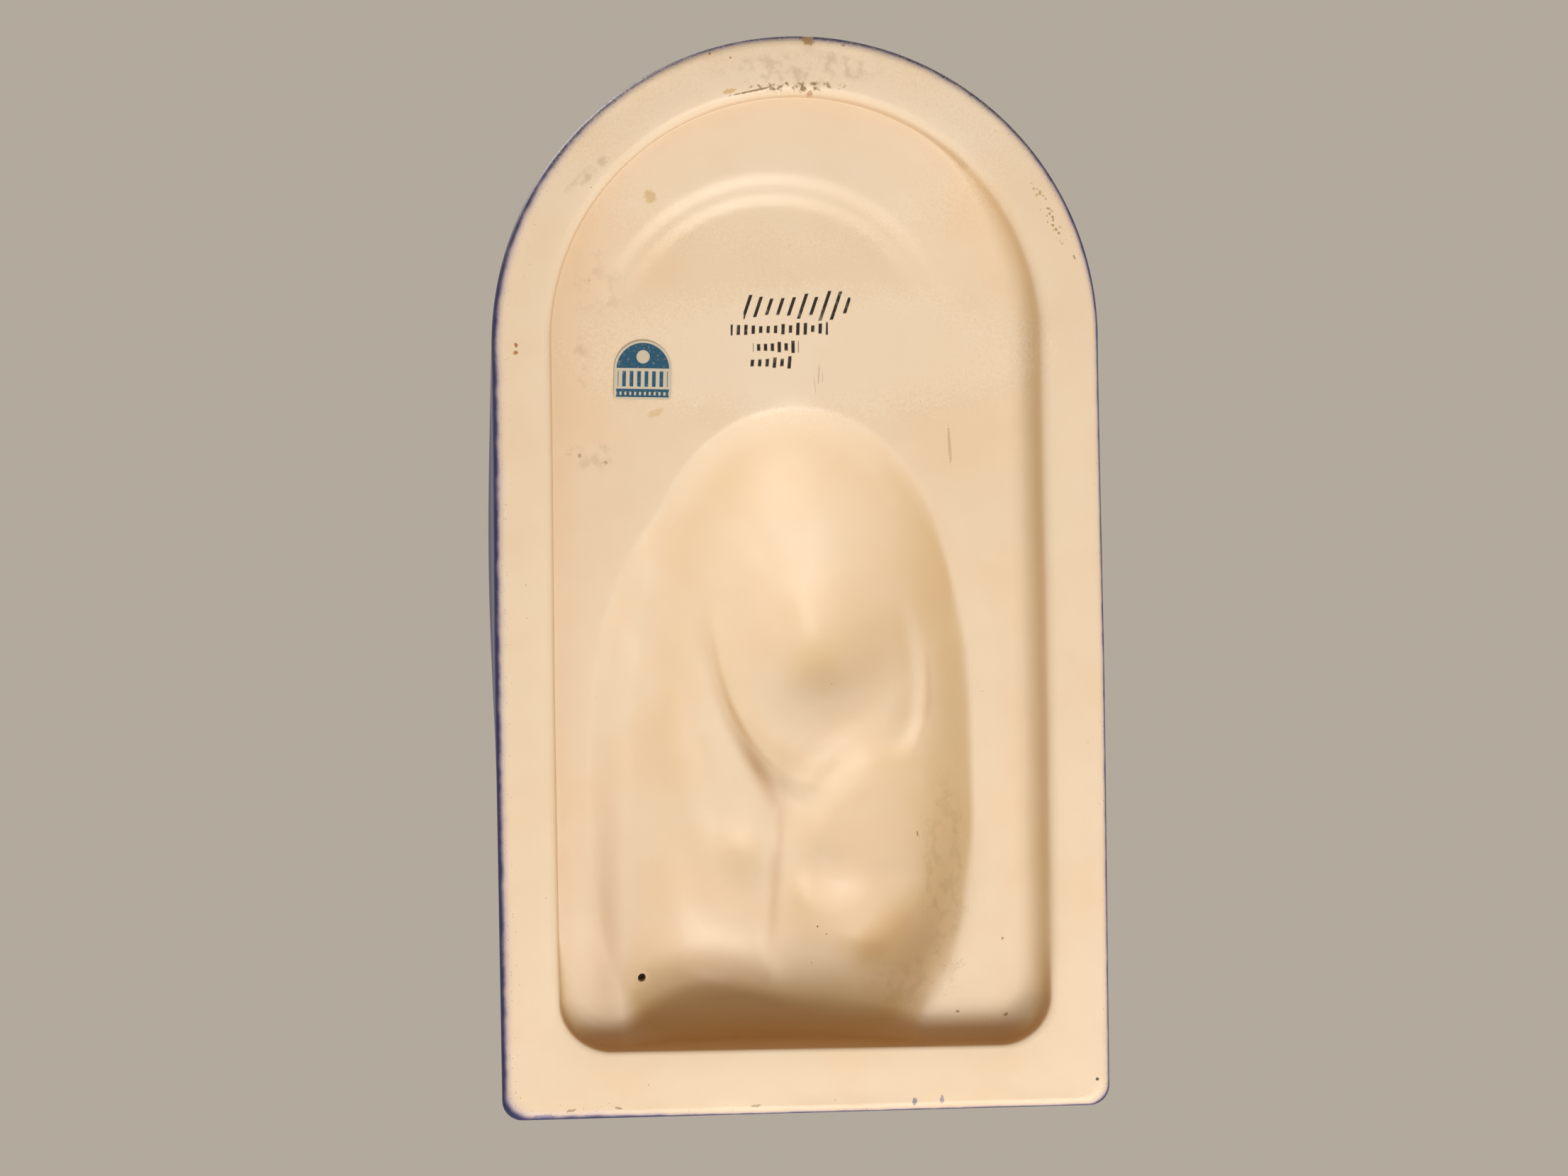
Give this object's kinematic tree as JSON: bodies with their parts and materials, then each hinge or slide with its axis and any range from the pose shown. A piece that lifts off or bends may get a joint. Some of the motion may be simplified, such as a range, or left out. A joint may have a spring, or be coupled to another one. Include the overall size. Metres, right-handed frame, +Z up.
{
  "type": "arched ceramic wall plaque with a veiled mother and child relief",
  "caption": "Arch-topped glazed ceramic wall plaque with a veiled mother and child in high relief and an open hollow back that hangs by its rim.",
  "frame": {"origin": "on the flat back rim, at the top of the plaque, midway across the rim: the place where it bears on the wall over its nail", "axes": "+Z up the plaque to the top of its arch, +Y out of its back into the wall, +X to the right seen from the front; the relief faces -Y"},
  "size_m": [0.2135, 0.0572, 0.3751],
  "materials": {
    "cream_glaze": "glossy ivory tin glaze over earthenware, blue glaze sprayed on the frame and sides",
    "blue_foil": "thin printed foil label, satin"
  },
  "bodies": {
    "root": {"plaque": "cream_glaze", "label": "blue_foil"}
  },
  "joints": []
}
